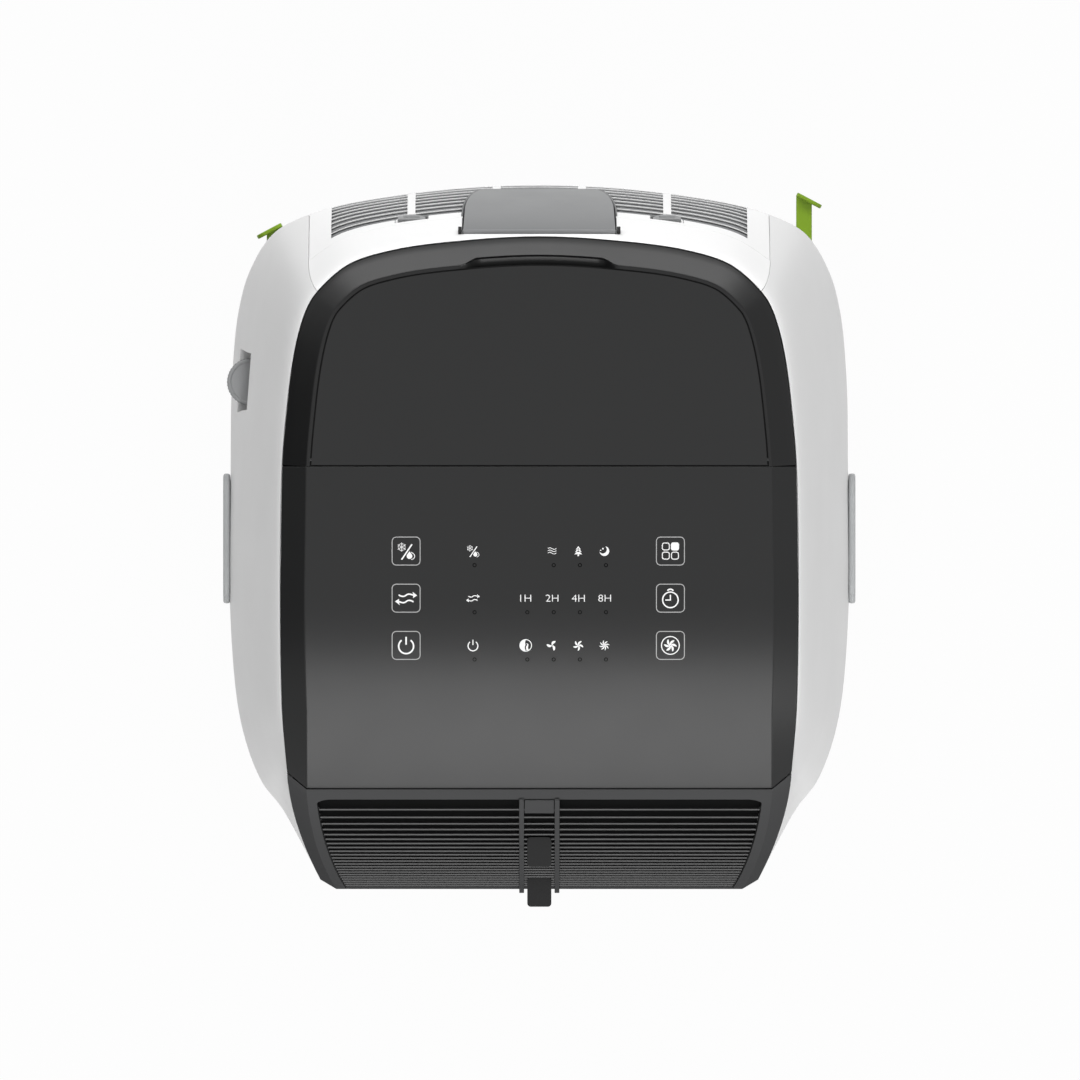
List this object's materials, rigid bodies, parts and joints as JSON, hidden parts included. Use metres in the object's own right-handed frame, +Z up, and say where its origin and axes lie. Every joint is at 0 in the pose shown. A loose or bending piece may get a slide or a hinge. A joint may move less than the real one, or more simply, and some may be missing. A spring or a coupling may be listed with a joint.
{
  "type": "portable evaporative air cooler",
  "caption": "Tall air cooler on castors: black touch-panel top with a hinged fill lid, tilting louvers in front, slatted rear grille, draw-out tank and fold-out handle.",
  "frame": {"origin": "on the floor, under the middle of the assembly's plan box", "axes": "+Z up, the outlet faces -Y, +X to the right as seen from above with the outlet at the bottom"},
  "size_m": [0.3942, 0.4488, 0.853],
  "materials": {
    "white_shell": "gloss",
    "black_trim": "satin",
    "black_louver": "fine matt",
    "grey_trim": "satin",
    "grip_grey": "satin",
    "green_hook": "gloss",
    "chassis_grey": "moulded",
    "tray_grey": "moulded",
    "fan_black": "moulded",
    "motor_metal": "cast",
    "pad_brown": "fibrous",
    "pump_black": "moulded",
    "tank_pale": "satin",
    "window_clear": "clear",
    "wheel_rubber": "matt"
  },
  "bodies": {
    "casing": {"base_tray": "tray_grey", "chassis": "chassis_grey", "side_shell_left": "white_shell", "side_shell_right": "white_shell", "rear_top_cover": "white_shell", "rear_grille": "white_shell", "top_frame": "black_trim", "control_panel": "black_trim", "outlet_frame": "black_trim", "lower_front": "white_shell", "level_window": "window_clear", "blower_housing": "chassis_grey", "blower_motor": "motor_metal", "cooling_pad": "pad_brown", "water_distributor": "chassis_grey", "water_pump": "pump_black", "side_grip_left": "grip_grey", "side_grip_right": "grip_grey"},
    "lid": {"lid": "black_trim"},
    "louver_01": {"louver_01": "black_louver"},
    "louver_02": {"louver_02": "black_louver"},
    "louver_03": {"louver_03": "black_louver"},
    "louver_04": {"louver_04": "black_louver"},
    "louver_05": {"louver_05": "black_louver"},
    "louver_06": {"louver_06": "black_louver"},
    "louver_07": {"louver_07": "black_louver"},
    "louver_08": {"louver_08": "black_louver"},
    "louver_09": {"louver_09": "black_louver"},
    "louver_10": {"louver_10": "black_louver"},
    "louver_11": {"louver_11": "black_louver"},
    "louver_12": {"louver_12": "black_louver"},
    "louver_13": {"louver_13": "black_louver"},
    "louver_14": {"louver_14": "black_louver"},
    "louver_15": {"louver_15": "black_louver"},
    "louver_16": {"louver_16": "black_louver"},
    "louver_17": {"louver_17": "black_louver"},
    "louver_18": {"louver_18": "black_louver"},
    "louver_19": {"louver_19": "black_louver"},
    "louver_20": {"louver_20": "black_louver"},
    "louver_21": {"louver_21": "black_louver"},
    "louver_22": {"louver_22": "black_louver"},
    "vane_1": {"vane_1": "black_louver"},
    "vane_2": {"vane_2": "black_louver"},
    "vane_3": {"vane_3": "black_louver"},
    "vane_4": {"vane_4": "black_louver"},
    "vane_link": {"vane_link": "chassis_grey"},
    "blower_wheel": {"blower_wheel": "fan_black"},
    "water_tank": {"water_tank": "tank_pale"},
    "carry_handle": {"carry_handle": "grey_trim"},
    "grille_latch_left": {"grille_latch_left": "grey_trim"},
    "grille_latch_right": {"grille_latch_right": "grey_trim"},
    "cord_hook_left": {"cord_hook_left": "green_hook"},
    "cord_hook_right": {"cord_hook_right": "green_hook"},
    "flow_dial": {"flow_dial": "grip_grey"},
    "castor_fork_left": {"castor_fork_left": "grey_trim"},
    "castor_fork_right": {"castor_fork_right": "grey_trim"},
    "castor_wheel_left": {"castor_wheel_left": "wheel_rubber"},
    "castor_wheel_right": {"castor_wheel_right": "wheel_rubber"},
    "rear_wheel_left": {"rear_wheel_left": "wheel_rubber"},
    "rear_wheel_right": {"rear_wheel_right": "wheel_rubber"}
  },
  "joints": [
    {"name": "lid_hinge", "type": "hinge", "parent": "casing", "child": "lid", "pos_m": [0, 0.05378, 0.8512], "axis": [1, 0, 0], "range_deg": [0, 100]},
    {"name": "louver_01_tilt", "type": "hinge", "parent": "casing", "child": "louver_01", "pos_m": [0, -0.15647, 0.79998], "axis": [1, 0, 0], "range_deg": [-25, 25]},
    {"name": "louver_02_tilt", "type": "hinge", "parent": "casing", "child": "louver_02", "pos_m": [0, -0.1613, 0.78978], "axis": [1, 0, 0], "range_deg": [-25, 25]},
    {"name": "louver_03_tilt", "type": "hinge", "parent": "casing", "child": "louver_03", "pos_m": [0, -0.16537, 0.77958], "axis": [1, 0, 0], "range_deg": [-25, 25]},
    {"name": "louver_04_tilt", "type": "hinge", "parent": "casing", "child": "louver_04", "pos_m": [0, -0.16894, 0.76938], "axis": [1, 0, 0], "range_deg": [-25, 25]},
    {"name": "louver_05_tilt", "type": "hinge", "parent": "casing", "child": "louver_05", "pos_m": [0, -0.17216, 0.75918], "axis": [1, 0, 0], "range_deg": [-25, 25]},
    {"name": "louver_06_tilt", "type": "hinge", "parent": "casing", "child": "louver_06", "pos_m": [0, -0.1751, 0.74898], "axis": [1, 0, 0], "range_deg": [-25, 25]},
    {"name": "louver_07_tilt", "type": "hinge", "parent": "casing", "child": "louver_07", "pos_m": [0, -0.17782, 0.73878], "axis": [1, 0, 0], "range_deg": [-25, 25]},
    {"name": "louver_08_tilt", "type": "hinge", "parent": "casing", "child": "louver_08", "pos_m": [0, -0.18034, 0.72858], "axis": [1, 0, 0], "range_deg": [-25, 25]},
    {"name": "louver_09_tilt", "type": "hinge", "parent": "casing", "child": "louver_09", "pos_m": [0, -0.18271, 0.71838], "axis": [1, 0, 0], "range_deg": [-25, 25]},
    {"name": "louver_10_tilt", "type": "hinge", "parent": "casing", "child": "louver_10", "pos_m": [0, -0.18494, 0.70818], "axis": [1, 0, 0], "range_deg": [-25, 25]},
    {"name": "louver_11_tilt", "type": "hinge", "parent": "casing", "child": "louver_11", "pos_m": [0, -0.18705, 0.69798], "axis": [1, 0, 0], "range_deg": [-25, 25]},
    {"name": "louver_12_tilt", "type": "hinge", "parent": "casing", "child": "louver_12", "pos_m": [0, -0.18906, 0.68778], "axis": [1, 0, 0], "range_deg": [-25, 25]},
    {"name": "louver_13_tilt", "type": "hinge", "parent": "casing", "child": "louver_13", "pos_m": [0, -0.19096, 0.67758], "axis": [1, 0, 0], "range_deg": [-25, 25]},
    {"name": "louver_14_tilt", "type": "hinge", "parent": "casing", "child": "louver_14", "pos_m": [0, -0.19278, 0.66738], "axis": [1, 0, 0], "range_deg": [-25, 25]},
    {"name": "louver_15_tilt", "type": "hinge", "parent": "casing", "child": "louver_15", "pos_m": [0, -0.19451, 0.65718], "axis": [1, 0, 0], "range_deg": [-25, 25]},
    {"name": "louver_16_tilt", "type": "hinge", "parent": "casing", "child": "louver_16", "pos_m": [0, -0.19618, 0.64698], "axis": [1, 0, 0], "range_deg": [-25, 25]},
    {"name": "louver_17_tilt", "type": "hinge", "parent": "casing", "child": "louver_17", "pos_m": [0, -0.19777, 0.63678], "axis": [1, 0, 0], "range_deg": [-25, 25]},
    {"name": "louver_18_tilt", "type": "hinge", "parent": "casing", "child": "louver_18", "pos_m": [0, -0.1993, 0.62658], "axis": [1, 0, 0], "range_deg": [-25, 25]},
    {"name": "louver_19_tilt", "type": "hinge", "parent": "casing", "child": "louver_19", "pos_m": [0, -0.20078, 0.61638], "axis": [1, 0, 0], "range_deg": [-25, 25]},
    {"name": "louver_20_tilt", "type": "hinge", "parent": "casing", "child": "louver_20", "pos_m": [0, -0.2022, 0.60618], "axis": [1, 0, 0], "range_deg": [-25, 25]},
    {"name": "louver_21_tilt", "type": "hinge", "parent": "casing", "child": "louver_21", "pos_m": [0, -0.20356, 0.59598], "axis": [1, 0, 0], "range_deg": [-25, 25]},
    {"name": "louver_22_tilt", "type": "hinge", "parent": "casing", "child": "louver_22", "pos_m": [0, -0.20488, 0.58578], "axis": [1, 0, 0], "range_deg": [-25, 25]},
    {"name": "vane_1_swing", "type": "hinge", "parent": "casing", "child": "vane_1", "pos_m": [-0.095, -0.12162, 0.69289], "axis": [0, 0, 1], "range_deg": [-25, 25]},
    {"name": "vane_2_swing", "type": "hinge", "parent": "casing", "child": "vane_2", "pos_m": [-0.04, -0.12162, 0.69289], "axis": [0, 0, 1], "range_deg": [-25, 25]},
    {"name": "vane_3_swing", "type": "hinge", "parent": "casing", "child": "vane_3", "pos_m": [0.04, -0.12162, 0.69289], "axis": [0, 0, 1], "range_deg": [-25, 25]},
    {"name": "vane_4_swing", "type": "hinge", "parent": "casing", "child": "vane_4", "pos_m": [0.095, -0.12162, 0.69289], "axis": [0, 0, 1], "range_deg": [-25, 25]},
    {"name": "vane_link_slide", "type": "slide", "parent": "casing", "child": "vane_link", "axis": [1, 0, 0], "range_m": [-0.0062, 0.0062]},
    {"name": "blower_spin", "type": "hinge", "parent": "casing", "child": "blower_wheel", "pos_m": [0, 0.012, 0.65387], "axis": [1, 0, 0], "continuous": true},
    {"name": "tank_slide", "type": "slide", "parent": "casing", "child": "water_tank", "axis": [0, 1, 0], "range_m": [0, 0.22]},
    {"name": "carry_handle_hinge", "type": "hinge", "parent": "casing", "child": "carry_handle", "pos_m": [0, 0.19395, 0.83534], "axis": [1, 0, 0], "range_deg": [0, 90]},
    {"name": "grille_latch_left_slide", "type": "slide", "parent": "casing", "child": "grille_latch_left", "axis": [0, 0.2522, -0.9677], "range_m": [0, 0.003], "stiffness_N_per_m": 400},
    {"name": "grille_latch_right_slide", "type": "slide", "parent": "casing", "child": "grille_latch_right", "axis": [0, 0.2522, -0.9677], "range_m": [0, 0.003], "stiffness_N_per_m": 400},
    {"name": "cord_hook_left_slide", "type": "slide", "parent": "casing", "child": "cord_hook_left", "axis": [0, 1, 0], "range_m": [-0.0014, 0.021]},
    {"name": "cord_hook_right_slide", "type": "slide", "parent": "casing", "child": "cord_hook_right", "axis": [0, 1, 0], "range_m": [-0.0204, 0.002]},
    {"name": "flow_dial_turn", "type": "hinge", "parent": "casing", "child": "flow_dial", "pos_m": [-0.1794, 0.10238, 0.645], "axis": [0, 0, 1], "range_deg": [0, 270]},
    {"name": "castor_swivel_left", "type": "hinge", "parent": "casing", "child": "castor_fork_left", "pos_m": [-0.125, -0.13962, 0.06], "axis": [0, 0, 1], "continuous": true},
    {"name": "castor_roll_left", "type": "hinge", "parent": "castor_fork_left", "child": "castor_wheel_left", "pos_m": [-0.125, -0.12362, 0.025], "axis": [1, 0, 0], "continuous": true},
    {"name": "castor_swivel_right", "type": "hinge", "parent": "casing", "child": "castor_fork_right", "pos_m": [0.125, -0.13962, 0.06], "axis": [0, 0, 1], "continuous": true},
    {"name": "castor_roll_right", "type": "hinge", "parent": "castor_fork_right", "child": "castor_wheel_right", "pos_m": [0.125, -0.12362, 0.025], "axis": [1, 0, 0], "continuous": true},
    {"name": "rear_roll_left", "type": "hinge", "parent": "casing", "child": "rear_wheel_left", "pos_m": [-0.14, 0.15038, 0.025], "axis": [1, 0, 0], "continuous": true},
    {"name": "rear_roll_right", "type": "hinge", "parent": "casing", "child": "rear_wheel_right", "pos_m": [0.14, 0.15038, 0.025], "axis": [1, 0, 0], "continuous": true}
  ],
  "couplings": [
    {"joint": "louver_01_tilt", "follows": "louver_06_tilt", "ratio": 1},
    {"joint": "louver_02_tilt", "follows": "louver_06_tilt", "ratio": 1},
    {"joint": "louver_03_tilt", "follows": "louver_06_tilt", "ratio": 1},
    {"joint": "louver_04_tilt", "follows": "louver_06_tilt", "ratio": 1},
    {"joint": "louver_05_tilt", "follows": "louver_06_tilt", "ratio": 1},
    {"joint": "louver_07_tilt", "follows": "louver_06_tilt", "ratio": 1},
    {"joint": "louver_08_tilt", "follows": "louver_06_tilt", "ratio": 1},
    {"joint": "louver_09_tilt", "follows": "louver_06_tilt", "ratio": 1},
    {"joint": "louver_10_tilt", "follows": "louver_06_tilt", "ratio": 1},
    {"joint": "louver_11_tilt", "follows": "louver_06_tilt", "ratio": 1},
    {"joint": "louver_12_tilt", "follows": "louver_19_tilt", "ratio": 1},
    {"joint": "louver_13_tilt", "follows": "louver_19_tilt", "ratio": 1},
    {"joint": "louver_14_tilt", "follows": "louver_19_tilt", "ratio": 1},
    {"joint": "louver_15_tilt", "follows": "louver_19_tilt", "ratio": 1},
    {"joint": "louver_16_tilt", "follows": "louver_19_tilt", "ratio": 1},
    {"joint": "louver_17_tilt", "follows": "louver_19_tilt", "ratio": 1},
    {"joint": "louver_18_tilt", "follows": "louver_19_tilt", "ratio": 1},
    {"joint": "louver_20_tilt", "follows": "louver_19_tilt", "ratio": 1},
    {"joint": "louver_21_tilt", "follows": "louver_19_tilt", "ratio": 1},
    {"joint": "louver_22_tilt", "follows": "louver_19_tilt", "ratio": 1},
    {"joint": "vane_2_swing", "follows": "vane_1_swing", "ratio": 1},
    {"joint": "vane_3_swing", "follows": "vane_1_swing", "ratio": 1},
    {"joint": "vane_4_swing", "follows": "vane_1_swing", "ratio": 1},
    {"joint": "vane_link_slide", "follows": "vane_1_swing", "m_per_rad": -0.01365}
  ]
}
